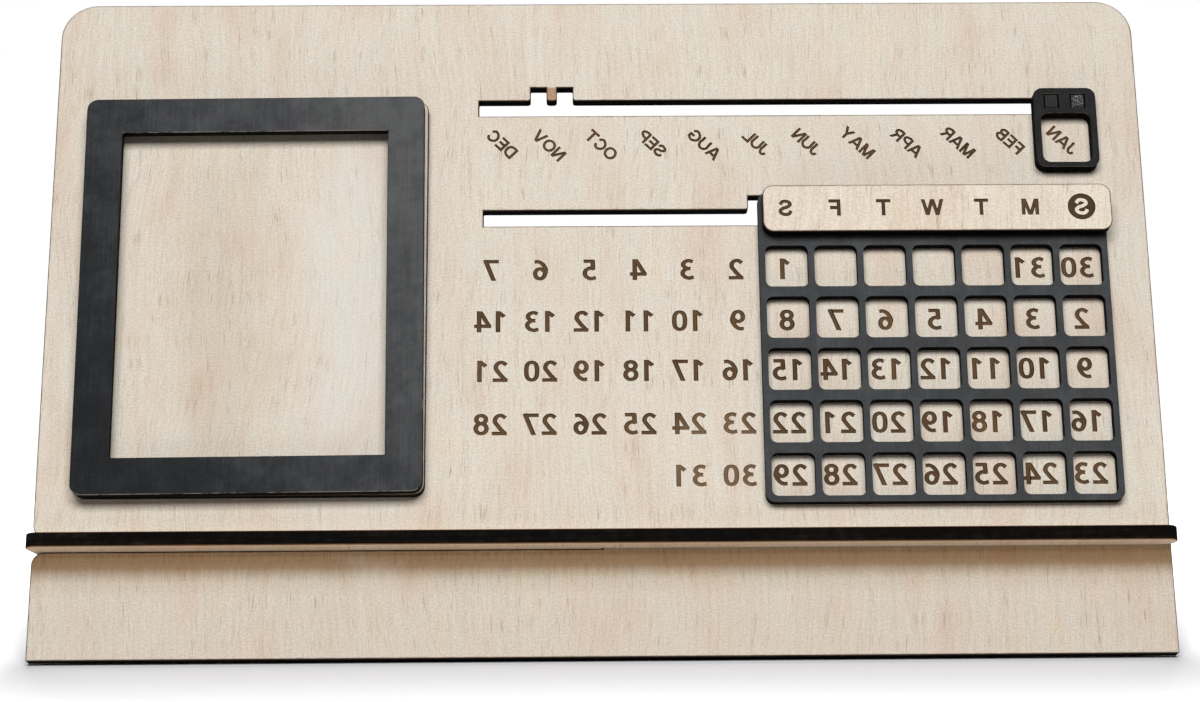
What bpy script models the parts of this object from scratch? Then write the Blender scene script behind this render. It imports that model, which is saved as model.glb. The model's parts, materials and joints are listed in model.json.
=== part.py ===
"""Perpetual desk calendar with a photo frame, laser-cut from thin plywood.

Metres, +Z up. The front faces -Y and +X is at the viewer's right. The origin lies on the desk, under the
middle of the calendar's box. Every flat piece is drawn in the leaning panel's own axes: x along the panel,
y up along its front face from the foot, and z out of that face.
"""

import math

import bpy
from mathutils import Vector

# Sheets and fits
SHEET = 0.0039
THIN_SHEET = 0.0029
GLUE_GAP = 0.00015
RUNNING_GAP = 0.0002
LAP_CLEARANCE = 0.00015
END_PLAY = 0.0004
ARC_TOLERANCE = 0.00002

# Lean of the panel, and the stand board that crosses it
LEAN_DEGREES = 25
SHELF_HEIGHT = 0.0289
LIP_DEPTH = 0.00645
SHELF_OVERHANG = 0.0009
SHELF_CORNER_RADIUS = 0.003
SHELF_REAR_RADIUS = 0.010
SHELF_TAPER_DEGREES = 16
LAP_MOUTH_RADIUS = 0.0032

# Panel margins
PANEL_CORNER_RADIUS = 0.010
TOP_MARGIN = 0.02552
FRAME_SIDE_MARGIN = 0.00975
FRAME_FOOT_MARGIN = 0.0102
FRAME_TO_SLIDER = 0.01045
SLIDER_SIDE_MARGIN = 0.0118
SLIDER_FOOT_MARGIN = 0.0076
CURSOR_FOOT_MARGIN = 0.0062

# Photo frame: a painted front over a U-shaped spacer, open at the top for the print
PRINT_WIDTH = 0.080
PRINT_HEIGHT = 0.100
PRINT_PLAY = 0.0003
PRINT_SIDE_LAP = 0.0037
PRINT_END_LAP = 0.0039
FRAME_RAIL = 0.010
FRAME_CORNER_RADIUS = 0.003
FRAME_SKEW_DEGREES = 0.35
SPACER_SHIFT_RIGHT = 0.0007

# Week slider: a grid of windows, one for each day of five weeks, under a header strip
DAYS_IN_WEEK = 7
WEEKS_SHOWN = 5
WINDOW_WIDTH = 0.01165
WINDOW_HEIGHT = 0.01173
WINDOW_CORNER_RADIUS = 0.0018
COLUMN_BAR = 0.0017
ROW_BAR = 0.00287
GRID_SIDE_RAIL = 0.001625
GRID_FOOT_RAIL = 0.0017
GRID_CORNER_RADIUS = 0.0024
HEADER_FOOT_RAIL = 0.00267
HEADER_HEIGHT = 0.0134
HEADER_OVERHANG = 0.0007
HEADER_SHIFT_RIGHT = 0.00105
HEADER_CORNER_RADIUS = 0.0029
WEEK_REST_OFFSET = 0.0003
WEEK_SLOT_RISE = 0.00715
WEEK_HOOK_INSET = 0.00575
WEEK_GATE_FROM_REST = 0.0079

# Month cursor: one framed window under a bar that holds two hooks
CURSOR_WINDOW_WIDTH = 0.01375
CURSOR_WINDOW_HEIGHT = 0.01445
CURSOR_WINDOW_RADIUS = 0.0022
CURSOR_SIDE_RAIL = 0.001775
CURSOR_FOOT_RAIL = 0.00145
CURSOR_BAR_BELOW_SLOT = 0.00153
CURSOR_BAR_ABOVE_HOOK = 0.0019
CURSOR_CORNER_RADIUS = 0.0026
CURSOR_REST_INSET = 0.00057
CURSOR_END_INSET = 0.00133
CURSOR_HOOK_PITCH = 0.00728
MONTHS = 12

# Hooks, and the gates through which they enter the slots
HOOK_STEM_HEIGHT = 0.0039
HOOK_HEEL_RISE = 0.0041
HOOK_HEEL_THICKNESS = 0.0035
HOOK_HEEL_RADIUS = 0.001
HOOK_RECESS = 0.0002
SLOT_PLAY_ABOVE = 0.0005
GATE_PLAY_ABOVE = 0.00035
GATE_SIDE_PLAY = 0.0005
GATE_CORNER_RADIUS = 0.0008

# Photo frame, worked out
frame_window_width = PRINT_WIDTH - 2 * PRINT_SIDE_LAP
frame_window_height = PRINT_HEIGHT - 2 * PRINT_END_LAP
frame_width = frame_window_width + 2 * FRAME_RAIL
frame_height = frame_window_height + 2 * FRAME_RAIL

# Week slider, worked out
column_pitch = WINDOW_WIDTH + COLUMN_BAR
row_pitch = WINDOW_HEIGHT + ROW_BAR
slider_width = DAYS_IN_WEEK * column_pitch - COLUMN_BAR + 2 * GRID_SIDE_RAIL
week_travel = (DAYS_IN_WEEK - 1) * column_pitch + WEEK_REST_OFFSET

# Panel across, worked out from the pieces that stand side by side on it
calendar_width = week_travel + slider_width
panel_width = FRAME_SIDE_MARGIN + frame_width + FRAME_TO_SLIDER + calendar_width + SLIDER_SIDE_MARGIN
panel_left = -panel_width / 2
panel_right = panel_width / 2
frame_left = panel_left + FRAME_SIDE_MARGIN
slider_left = panel_right - SLIDER_SIDE_MARGIN - slider_width
calendar_left = slider_left - week_travel

# Month cursor, worked out: it runs the width of the calendar, less an inset at each end
cursor_width = CURSOR_WINDOW_WIDTH + 2 * CURSOR_SIDE_RAIL
cursor_left = panel_right - SLIDER_SIDE_MARGIN - CURSOR_REST_INSET - cursor_width
month_travel = calendar_width - CURSOR_REST_INSET - CURSOR_END_INSET - cursor_width
month_pitch = month_travel / (MONTHS - 1)
cursor_middle = cursor_left + cursor_width / 2

# Panel upwards, worked out from the pieces that stand above each other on it
shelf_top = SHELF_HEIGHT + SHEET
frame_foot = shelf_top + FRAME_FOOT_MARGIN
grid_foot = shelf_top + SLIDER_FOOT_MARGIN
windows_foot = grid_foot + GRID_FOOT_RAIL
windows_top = windows_foot + WEEKS_SHOWN * row_pitch - ROW_BAR
header_foot = windows_top + HEADER_FOOT_RAIL
header_top = header_foot + HEADER_HEIGHT
grid_top = header_top - HEADER_OVERHANG
week_slot_foot = windows_top + WEEK_SLOT_RISE
cursor_foot = header_top + CURSOR_FOOT_MARGIN
cursor_window_foot = cursor_foot + CURSOR_FOOT_RAIL
cursor_window_top = cursor_window_foot + CURSOR_WINDOW_HEIGHT
month_slot_foot = cursor_window_top + CURSOR_BAR_BELOW_SLOT
slot_height = RUNNING_GAP + HOOK_STEM_HEIGHT + SLOT_PLAY_ABOVE
hook_height = HOOK_STEM_HEIGHT + HOOK_HEEL_RISE
gate_height = RUNNING_GAP + hook_height + GATE_PLAY_ABOVE
gate_width = SHEET + GATE_SIDE_PLAY
cursor_top = month_slot_foot + RUNNING_GAP + HOOK_STEM_HEIGHT + CURSOR_BAR_ABOVE_HOOK
panel_height = month_slot_foot + gate_height + TOP_MARGIN

# Hooks along their slots at rest, by the middle of each
week_hooks = (
    slider_left + WEEK_HOOK_INSET + SHEET / 2,
    slider_left + slider_width - WEEK_HOOK_INSET - SHEET / 2,
)
month_hooks = (cursor_middle - CURSOR_HOOK_PITCH / 2, cursor_middle + CURSOR_HOOK_PITCH / 2)

# The month cursor's gates line up one month before the last
month_gate_shift = month_travel - month_pitch

# Stand board in depth: its rear edge reaches the desk behind the leaning panel
lean = math.radians(LEAN_DEGREES)
taper = math.radians(SHELF_TAPER_DEGREES)
shelf_rear = -(SHELF_HEIGHT / math.tan(lean) + SHEET)
box_depth = panel_height * math.sin(lean) + SHEET * math.cos(lean)


def fillet_reach(corner, before, after):
    """How far a corner's unit fillet reaches along its two sides."""
    turn = (before - corner).angle(after - corner)
    return 1 / math.tan(turn / 2)


def fillet(corner, before, after, radius):
    """Points of the arc that rounds one corner."""
    reach = radius * fillet_reach(corner, before, after)
    start = corner + (before - corner).normalized() * reach
    end = corner + (after - corner).normalized() * reach
    inward = ((start + end) / 2 - corner).normalized()
    centre = corner + inward * math.hypot(radius, reach)
    sweep = (start - centre).angle_signed(end - centre)
    step = 2 * math.acos(max(1 - ARC_TOLERANCE / radius, 0))
    count = max(2, math.ceil(abs(sweep) / step))
    points = []
    for i in range(count + 1):
        turned = -sweep * i / count
        arm = start - centre
        points.append(
            centre
            + Vector(
                (
                    arm.x * math.cos(turned) - arm.y * math.sin(turned),
                    arm.x * math.sin(turned) + arm.y * math.cos(turned),
                )
            )
        )
    return points


def outline(corners):
    """A closed outline from (x, y) or (x, y, radius) corners, with each fillet limited by its sides."""
    spots = [Vector(corner[:2]) for corner in corners]
    radii = [corner[2] if len(corner) > 2 else 0 for corner in corners]
    count = len(spots)
    limited = list(radii)
    for i in range(count):
        following = (i + 1) % count
        side = (spots[following] - spots[i]).length
        reach = 0
        for j in (i, following):
            if radii[j]:
                reach += radii[j] * fillet_reach(spots[j], spots[j - 1], spots[(j + 1) % count])
        if reach > side:
            for j in (i, following):
                limited[j] = min(limited[j], radii[j] * side / reach)
    points = []
    for i, spot in enumerate(spots):
        if limited[i]:
            points += fillet(spot, spots[i - 1], spots[(i + 1) % count], limited[i])
        else:
            points.append(spot)
    return points


def rectangle(left, foot, right, top, radius=0):
    return outline([(left, foot, radius), (right, foot, radius), (right, top, radius), (left, top, radius)])


def plate(name, outer, holes, thickness, look, parent, place, turn=(0, 0, 0)):
    """A flat piece: an outline with holes, filled and given its thickness either side of its own plane."""
    curve = bpy.data.curves.new(name, "CURVE")
    curve.dimensions = "2D"
    curve.fill_mode = "BOTH"
    curve.extrude = thickness / 2
    for ring in [outer] + [hole[::-1] for hole in holes]:
        spline = curve.splines.new("POLY")
        spline.points.add(len(ring) - 1)
        for point, spot in zip(spline.points, ring):
            point.co = (spot.x, spot.y, 0, 1)
        spline.use_cyclic_u = True
    curve.materials.append(look)
    piece = bpy.data.objects.new(name, curve)
    piece.parent = parent
    piece.location = place
    piece.rotation_euler = turn
    parts.objects.link(piece)
    return piece


def material(name, colour, roughness):
    look = bpy.data.materials.new(name)
    look.use_nodes = True
    shader = look.node_tree.nodes["Principled BSDF"]
    shader.inputs["Base Color"].default_value = (*colour, 1)
    shader.inputs["Roughness"].default_value = roughness
    shader.inputs["Metallic"].default_value = 0
    return look


def guide(name, parent, place, turn=(0, 0, 0)):
    """An empty that carries pieces: the leaning plane, or a slide at its rest place."""
    empty = bpy.data.objects.new(name, None)
    empty.parent = parent
    empty.location = place
    empty.rotation_euler = turn
    parts.objects.link(empty)
    return empty


def slot(left, right, foot, gates):
    """A slot that a hook's stem slides in, with a gate above it wherever a hook's heel may enter."""
    top = foot + slot_height
    gate_top = foot + gate_height
    corners = [(left, foot), (right, foot), (right, top)]
    for middle in sorted(gates, reverse=True):
        corners += [
            (middle + gate_width / 2, top, GATE_CORNER_RADIUS),
            (middle + gate_width / 2, gate_top),
            (middle - gate_width / 2, gate_top),
            (middle - gate_width / 2, top, GATE_CORNER_RADIUS),
        ]
    return outline(corners + [(left, top)])


def slot_along(hooks, travel, foot, gate_shift):
    """The slot for a slide: as long as its hooks' run, with one gate for each hook."""
    left = min(hooks) - SHEET / 2 - travel - END_PLAY
    right = max(hooks) + SHEET / 2 + END_PLAY
    return slot(left, right, foot, [hook - gate_shift for hook in hooks])


def make_panel():
    """The back panel, with both slots and the half-lap slot that takes the stand board from the left."""
    lap_foot = SHELF_HEIGHT - LAP_CLEARANCE
    lap_top = shelf_top + LAP_CLEARANCE
    outer = outline(
        [
            (panel_left, 0),
            (panel_right, 0),
            (panel_right, panel_height, PANEL_CORNER_RADIUS),
            (panel_left, panel_height, PANEL_CORNER_RADIUS),
            (panel_left, lap_top, LAP_MOUTH_RADIUS),
            (0, lap_top),
            (0, lap_foot),
            (panel_left, lap_foot, LAP_MOUTH_RADIUS),
        ]
    )
    holes = [
        slot_along(month_hooks, month_travel, month_slot_foot, month_gate_shift),
        slot_along(week_hooks, week_travel, week_slot_foot, WEEK_GATE_FROM_REST),
    ]
    look = material("panel_plywood", (0.70, 0.62, 0.50), 0.65)
    plate("back_panel", outer, holes, SHEET, look, panel_plane, (0, 0, -SHEET / 2))


def make_stand_board():
    """The stand board: the lip in front, the prop behind, and its half of the lap from the right."""
    slot_front = LAP_CLEARANCE
    slot_rear = -SHEET - LAP_CLEARANCE
    slot_end = -LAP_CLEARANCE
    # The rounded front corner stands furthest out, and the side leans in behind it.
    widest = panel_width / 2 + SHELF_OVERHANG
    round_middle = LIP_DEPTH - SHELF_CORNER_RADIUS
    touch_x = widest - SHELF_CORNER_RADIUS * (1 - math.cos(taper))
    touch_z = round_middle - SHELF_CORNER_RADIUS * math.sin(taper)

    def side(z):
        return touch_x + (z - touch_z) * math.tan(taper)

    outer = outline(
        [
            (-side(shelf_rear), shelf_rear, SHELF_REAR_RADIUS),
            (side(shelf_rear), shelf_rear, SHELF_REAR_RADIUS),
            (side(slot_rear), slot_rear, LAP_MOUTH_RADIUS),
            (slot_end, slot_rear),
            (slot_end, slot_front),
            (side(slot_front), slot_front, LAP_MOUTH_RADIUS),
            (side(LIP_DEPTH), LIP_DEPTH, SHELF_CORNER_RADIUS),
            (-side(LIP_DEPTH), LIP_DEPTH, SHELF_CORNER_RADIUS),
        ]
    )
    look = material("stand_plywood", (0.66, 0.57, 0.45), 0.65)
    lying = (math.pi / 2, 0, 0)
    place = (0, SHELF_HEIGHT + SHEET / 2, 0)
    plate("stand_board", outer, [], SHEET, look, panel_plane, place, lying)


def make_photo_frame():
    """The frame's two layers. The painted one is glued on slightly askew, so the pale one shows beside it."""
    middle_x = frame_left + frame_width / 2
    middle_y = frame_foot + frame_height / 2
    half_width = frame_width / 2
    half_height = frame_height / 2
    pocket_half = PRINT_WIDTH / 2 + PRINT_PLAY
    pocket_foot = -PRINT_HEIGHT / 2 - PRINT_PLAY
    spacer = outline(
        [
            (-half_width, -half_height, FRAME_CORNER_RADIUS),
            (half_width, -half_height, FRAME_CORNER_RADIUS),
            (half_width, half_height, FRAME_CORNER_RADIUS),
            (pocket_half, half_height),
            (pocket_half, pocket_foot),
            (-pocket_half, pocket_foot),
            (-pocket_half, half_height),
            (-half_width, half_height, FRAME_CORNER_RADIUS),
        ]
    )
    spacer_middle = GLUE_GAP + THIN_SHEET / 2
    place = (middle_x + SPACER_SHIFT_RIGHT, middle_y, spacer_middle)
    pale = material("spacer_plywood", (0.70, 0.62, 0.50), 0.65)
    plate("frame_spacer", spacer, [], THIN_SHEET, pale, panel_plane, place)

    front = rectangle(-half_width, -half_height, half_width, half_height, FRAME_CORNER_RADIUS)
    window_x = frame_window_width / 2
    window_y = frame_window_height / 2
    window = rectangle(-window_x, -window_y, window_x, window_y)
    place = (middle_x, middle_y, spacer_middle + THIN_SHEET + GLUE_GAP)
    skew = (0, 0, math.radians(FRAME_SKEW_DEGREES))
    black = material("frame_paint", (0.045, 0.048, 0.055), 0.45)
    plate("frame_front", front, [window], THIN_SHEET, black, panel_plane, place, skew)


def make_hook(name, middle_x, front, parent, look):
    """An L-shaped hook: its stem runs back through the slot, and its heel rises behind the panel."""
    heel_front = -SHEET - RUNNING_GAP
    heel_rear = heel_front - HOOK_HEEL_THICKNESS
    # Drawn in the plane across the slot, depth first.
    shape = outline(
        [
            (heel_rear, 0, HOOK_HEEL_RADIUS),
            (front, 0),
            (front, HOOK_STEM_HEIGHT),
            (heel_front, HOOK_STEM_HEIGHT),
            (heel_front, hook_height, HOOK_HEEL_RADIUS),
            (heel_rear, hook_height, HOOK_HEEL_RADIUS),
        ]
    )
    plate(name, shape, [], SHEET, look, parent, (middle_x, 0, 0), (0, -math.pi / 2, 0))


def hook_hole(middle_x):
    """The hole that a hook's stem is glued into, in the axes of its slide."""
    half = SHEET / 2 + GLUE_GAP
    return rectangle(middle_x - half, -GLUE_GAP, middle_x + half, HOOK_STEM_HEIGHT + GLUE_GAP)


def make_month_cursor():
    """The month cursor, in axes at the foot of its hooks' stems and the cursor's middle."""
    stem_foot = month_slot_foot + RUNNING_GAP
    slide = guide("month_slide", panel_plane, (cursor_middle, stem_foot, 0))
    half_width = cursor_width / 2
    window_half = CURSOR_WINDOW_WIDTH / 2
    outer = rectangle(
        -half_width, cursor_foot - stem_foot, half_width, cursor_top - stem_foot, CURSOR_CORNER_RADIUS
    )
    window = rectangle(
        -window_half,
        cursor_window_foot - stem_foot,
        window_half,
        cursor_window_top - stem_foot,
        CURSOR_WINDOW_RADIUS,
    )
    hooks = [middle - cursor_middle for middle in month_hooks]
    holes = [window] + [hook_hole(middle) for middle in hooks]
    black = material("cursor_paint", (0.045, 0.048, 0.055), 0.5)
    plate("month_cursor", outer, holes, SHEET, black, slide, (0, 0, RUNNING_GAP + SHEET / 2))
    front = RUNNING_GAP + SHEET - HOOK_RECESS
    hook_look = material("month_hook_paint", (0.035, 0.037, 0.04), 0.6)
    for name, middle in zip(("month_hook_left", "month_hook_right"), hooks):
        make_hook(name, middle, front, slide, hook_look)


def make_week_slider():
    """The week slider: the grid of windows with its hooks, and the weekday header glued over them."""
    stem_foot = week_slot_foot + RUNNING_GAP
    slider_middle = slider_left + slider_width / 2
    slide = guide("week_slide", panel_plane, (slider_middle, stem_foot, 0))
    half_width = slider_width / 2
    first_left = -half_width + GRID_SIDE_RAIL
    outer = rectangle(
        -half_width, grid_foot - stem_foot, half_width, grid_top - stem_foot, GRID_CORNER_RADIUS
    )
    hooks = [middle - slider_middle for middle in week_hooks]
    holes = [hook_hole(middle) for middle in hooks]
    for week in range(WEEKS_SHOWN):
        foot = windows_foot + week * row_pitch - stem_foot
        for day in range(DAYS_IN_WEEK):
            left = first_left + day * column_pitch
            holes.append(
                rectangle(left, foot, left + WINDOW_WIDTH, foot + WINDOW_HEIGHT, WINDOW_CORNER_RADIUS)
            )
    black = material("grid_paint", (0.045, 0.048, 0.055), 0.45)
    plate("week_grid", outer, holes, THIN_SHEET, black, slide, (0, 0, RUNNING_GAP + THIN_SHEET / 2))

    header = rectangle(
        HEADER_SHIFT_RIGHT - half_width,
        header_foot - stem_foot,
        HEADER_SHIFT_RIGHT + half_width,
        header_top - stem_foot,
        HEADER_CORNER_RADIUS,
    )
    pale = material("header_plywood", (0.70, 0.62, 0.50), 0.65)
    header_middle = RUNNING_GAP + THIN_SHEET + GLUE_GAP + SHEET / 2
    plate("weekday_header", header, [], SHEET, pale, slide, (0, 0, header_middle))

    front = RUNNING_GAP + THIN_SHEET - HOOK_RECESS
    hook_look = material("week_hook_paint", (0.035, 0.037, 0.04), 0.6)
    for name, middle in zip(("week_hook_left", "week_hook_right"), hooks):
        make_hook(name, middle, front, slide, hook_look)


for old in list(bpy.data.objects):
    bpy.data.objects.remove(old, do_unlink=True)

parts = bpy.data.collections.new("perpetual_desk_calendar")
bpy.context.scene.collection.children.link(parts)

# The panel's plane leans back, and its rear foot edge is the line that stands on the desk.
panel_plane = guide(
    "panel_plane", None, (0, -box_depth / 2, SHEET * math.sin(lean)), (math.pi / 2 - lean, 0, 0)
)
make_panel()
make_stand_board()
make_photo_frame()
make_month_cursor()
make_week_slider()
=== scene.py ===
import json
import math

import bpy
from mathutils import Matrix, Vector


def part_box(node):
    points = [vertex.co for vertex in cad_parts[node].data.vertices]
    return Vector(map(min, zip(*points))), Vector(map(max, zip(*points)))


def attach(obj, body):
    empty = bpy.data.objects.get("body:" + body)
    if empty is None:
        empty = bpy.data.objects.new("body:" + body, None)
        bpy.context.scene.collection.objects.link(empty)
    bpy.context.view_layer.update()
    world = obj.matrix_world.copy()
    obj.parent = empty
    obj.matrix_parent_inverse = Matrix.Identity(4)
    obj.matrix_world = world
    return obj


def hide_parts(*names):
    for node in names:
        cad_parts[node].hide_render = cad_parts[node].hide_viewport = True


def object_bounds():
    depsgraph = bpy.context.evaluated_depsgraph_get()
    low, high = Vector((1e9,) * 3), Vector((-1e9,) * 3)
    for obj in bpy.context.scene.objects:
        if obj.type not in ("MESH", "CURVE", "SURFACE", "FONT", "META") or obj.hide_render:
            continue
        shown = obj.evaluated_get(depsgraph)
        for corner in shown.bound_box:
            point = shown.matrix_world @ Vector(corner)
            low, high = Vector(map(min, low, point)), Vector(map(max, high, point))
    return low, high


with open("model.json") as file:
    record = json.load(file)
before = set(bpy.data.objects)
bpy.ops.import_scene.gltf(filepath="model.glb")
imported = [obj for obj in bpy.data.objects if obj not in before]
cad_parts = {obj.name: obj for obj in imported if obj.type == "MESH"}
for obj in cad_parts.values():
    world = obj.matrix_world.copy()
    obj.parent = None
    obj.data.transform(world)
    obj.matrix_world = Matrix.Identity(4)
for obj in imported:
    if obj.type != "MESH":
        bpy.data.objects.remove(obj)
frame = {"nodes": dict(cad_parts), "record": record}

cad_low, cad_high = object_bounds()

# The back panel: one sheet of 4 mm poplar plywood that leans back 25 degrees. A laser cut its outline and
# both slots, which chars the cut edge black and leaves a thin burnt line round every arris, and then
# burned the dates and the months a few tenths of a millimetre into the pale veneer.

MM = 0.001

# The print ledge faces up along the panel, so its axis gives the lean. The panel's box then gives how thick
# the sheet is.
up_the_panel = Vector(frame["record"]["mounts"][0]["axis"])
lean = math.atan2(up_the_panel.y, up_the_panel.z)
panel_low, panel_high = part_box("back_panel")
box_depth = panel_high.y - panel_low.y
box_rise = panel_high.z - panel_low.z
sheet = (box_depth * math.cos(lean) - box_rise * math.sin(lean)) / math.cos(2 * lean)
foot_line = Vector((0, panel_low.y, panel_low.z + sheet * math.sin(lean)))

# Panel axes: x along the panel, y up its front face from the foot, z out of that face.
panel_plane = Matrix.Translation(foot_line) @ Matrix.Rotation(math.pi / 2 - lean, 4, "X")


def flat_box(node):
    """Lowest and highest corner of a CAD node in the panel's axes."""
    inverse = panel_plane.inverted()
    spots = [inverse @ vertex.co for vertex in frame["nodes"][node].data.vertices]
    low = Vector([min(spot[axis] for spot in spots) for axis in range(3)])
    high = Vector([max(spot[axis] for spot in spots) for axis in range(3)])
    return low, high


def linear(code):
    """An sRGB hex colour as linear RGBA."""
    shares = [int(code[i:i + 2], 16) / 255 for i in (1, 3, 5)]
    lit = [share / 12.92 if share <= 0.04045 else ((share + 0.055) / 1.055) ** 2.4 for share in shares]
    return lit + [1]


def add(tree, kind, settings=None, links=None):
    """Adds a shader node, sets its properties, sockets or ramp, and links what feeds it. A colour Mix has
    its share in socket 0 and its two colours in 6 and 7."""
    made = tree.nodes.new("ShaderNode" + kind)
    for key, value in (settings or {}).items():
        if key == "ramp":
            stops = made.color_ramp.elements
            while len(stops) < len(value):
                stops.new(0.5)
            for stop, (position, code) in zip(stops, value):
                stop.position = position
                stop.color = linear(code)
        elif isinstance(key, int) or key in made.inputs:
            made.inputs[key].default_value = value
        else:
            setattr(made, key, value)
    for key, socket in (links or {}).items():
        tree.links.new(socket, made.inputs[key])
    return made


def new_material(name):
    """A material with its bare shader, and the shader and tree for the nodes that follow."""
    look = bpy.data.materials.new(name)
    look.use_nodes = True
    return look, look.node_tree, look.node_tree.nodes["Principled BSDF"]


def in_millimetres(tree, tilt):
    """Object coordinates in millimetres, turned by a tilt about X so that Y runs along the grain."""
    place = add(tree, "TexCoord").outputs["Object"]
    settings = {
        "vector_type": "TEXTURE",
        "Location": foot_line,
        "Rotation": (tilt, 0, 0),
        "Scale": (MM, MM, MM),
    }
    return add(tree, "Mapping", settings, {"Vector": place}).outputs["Vector"]


def streaks(tree, place, width, length, detail):
    """Noise drawn out along the grain, from a streak's width and length in millimetres."""
    scale = (1 / width, 1 / length, 1 / width)
    drawn = add(tree, "Mapping", {"Scale": scale}, {"Vector": place})
    noise = add(tree, "TexNoise", {"Scale": 1, "Detail": detail}, {"Vector": drawn.outputs[0]})
    return noise.outputs[0]


def dress(tree, shader, colour, height, strength, depth, specular):
    """Gives a shader its colour, a bump with its depth in millimetres, and how strongly it mirrors."""
    tree.links.new(colour, shader.inputs["Base Color"])
    bump = add(tree, "Bump", {"Strength": strength, "Distance": depth * MM}, {"Height": height})
    tree.links.new(bump.outputs[0], shader.inputs["Normal"])
    shader.inputs["Specular IOR Level"].default_value = specular


# How far the grain wanders sideways where its noise is strongest, and over what length, in millimetres.
GRAIN_WANDER = 14
WANDER_LENGTH = 70
# How steeply the smoke stain fades away from a cut.
STAIN_FALL = 2.2


def sanded_veneer(name, tilt, tones, slant=0):
    """Sanded poplar veneer: cloudy, nearly white wood with a fine nap and rows of short brown pores. The
    tilt about X lays the grain along the sheet, and a slant turns it within the sheet."""
    look, tree, shader = new_material(name)
    place = in_millimetres(tree, tilt)
    if slant:
        place = add(tree, "Mapping", {"Rotation": (0, 0, slant)}, {"Vector": place}).outputs[0]
    wander = add(tree, "TexNoise", {"Scale": 1 / WANDER_LENGTH, "Detail": 1}, {"Vector": place})
    sway = add(
        tree,
        "VectorMath",
        {"operation": "MULTIPLY_ADD", 1: (GRAIN_WANDER, 0, 0)},
        {0: wander.outputs["Color"], 2: place},
    )
    grain = sway.outputs[0]
    cloud = streaks(tree, grain, width=15, length=34, detail=3)
    ground = add(tree, "ValToRGB", {"ramp": tones}, {"Fac": cloud})

    # Broad figure, fine long lines, fibre, the sander's marks across the grain, and the nap, which is drawn
    # 0.5 mm coarse so that it shows.
    figure = streaks(tree, grain, width=1.5, length=40, detail=3)
    line = streaks(tree, grain, width=0.6, length=30, detail=1)
    fibre = streaks(tree, grain, width=0.35, length=6, detail=2)
    weave = streaks(tree, place, width=1.4, length=0.4, detail=1)
    nap = add(tree, "TexNoise", {"Scale": 1 / 0.5, "Detail": 2}, {"Vector": place}).outputs[0]
    colour = ground.outputs[0]
    for pattern, low, high, tone, share in (
        (figure, 0.40, 0.62, "#e6ded0", 0.12),
        (line, 0.34, 0.50, "#cfc1b0", 0.12),
        (fibre, 0.36, 0.60, "#d9cfbf", 0.18),
        (weave, 0.36, 0.60, "#d9d0c3", 0.16),
        (nap, 0.34, 0.62, "#d5ccbe", 0.43),
    ):
        ramp = [(low, tone), (high, "#ffffff")]
        shade = add(tree, "ValToRGB", {"ramp": ramp}, {"Fac": pattern})
        shaded = add(
            tree,
            "Mix",
            {"data_type": "RGBA", "blend_type": "MULTIPLY", 0: share},
            {6: colour, 7: shade.outputs[0]},
        )
        colour = shaded.outputs[2]

    # Pores are dashes one behind the other, so what crowds them is drawn out along the grain too.
    pores = streaks(tree, grain, width=0.28, length=6, detail=2)
    pore_mask = add(tree, "MapRange", {"From Min": 0.55, "From Max": 0.71}, {"Value": pores})
    rows = streaks(tree, grain, width=2.4, length=22, detail=2)
    crowd = add(tree, "MapRange", {"From Min": 0.45, "From Max": 0.65, "To Max": 0.75}, {"Value": rows})
    pore_depth = add(
        tree, "Math", {"operation": "MULTIPLY"}, {0: pore_mask.outputs[0], 1: crowd.outputs[0]}
    )
    pored = add(
        tree, "Mix", {"data_type": "RGBA", 7: linear("#9a8167")}, {0: pore_depth.outputs[0], 6: colour}
    )

    # Smoke from the laser browns the veneer beside each cut, unevenly.
    rim = add(tree, "Attribute", {"attribute_name": "rim"}).outputs["Fac"]
    smoke = add(tree, "TexNoise", {"Scale": 1 / 3.5, "Detail": 3}, {"Vector": place})
    drift = add(
        tree,
        "MapRange",
        {"From Min": 0.35, "From Max": 0.75, "To Min": 0.08, "To Max": 0.85},
        {"Value": smoke.outputs[0]},
    )
    steep = add(tree, "Math", {"operation": "POWER", 1: STAIN_FALL}, {0: rim})
    stain = add(tree, "Math", {"operation": "MULTIPLY"}, {0: steep.outputs[0], 1: drift.outputs[0]})
    stained = add(
        tree,
        "Mix",
        {"data_type": "RGBA", 7: linear("#6f5d4b")},
        {0: stain.outputs[0], 6: pored.outputs[2]},
    )
    height = add(tree, "Math", {"operation": "SUBTRACT"}, {0: nap, 1: pore_mask.outputs[0]})
    dress(tree, shader, stained.outputs[2], height.outputs[0], strength=0.3, depth=0.03, specular=0.3)
    sheen = add(tree, "MapRange", {"To Min": 0.60, "To Max": 0.78}, {"Value": fibre})
    tree.links.new(sheen.outputs[0], shader.inputs["Roughness"])
    shader.inputs["IOR"].default_value = 1.5
    return look


def coloured_over(look, blend, share, colour):
    """Mixes one more colour over a look's base colour. The share and the colour are values or sockets."""
    tree = look.node_tree
    shader = tree.nodes["Principled BSDF"]
    settings = {"data_type": "RGBA", "blend_type": blend}
    links = {6: shader.inputs["Base Color"].links[0].from_socket}
    for socket, given in ((0, share), (7, colour)):
        (links if isinstance(given, bpy.types.NodeSocket) else settings)[socket] = given
    mixed = add(tree, "Mix", settings, links)
    tree.links.new(mixed.outputs[2], shader.inputs["Base Color"])


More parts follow.
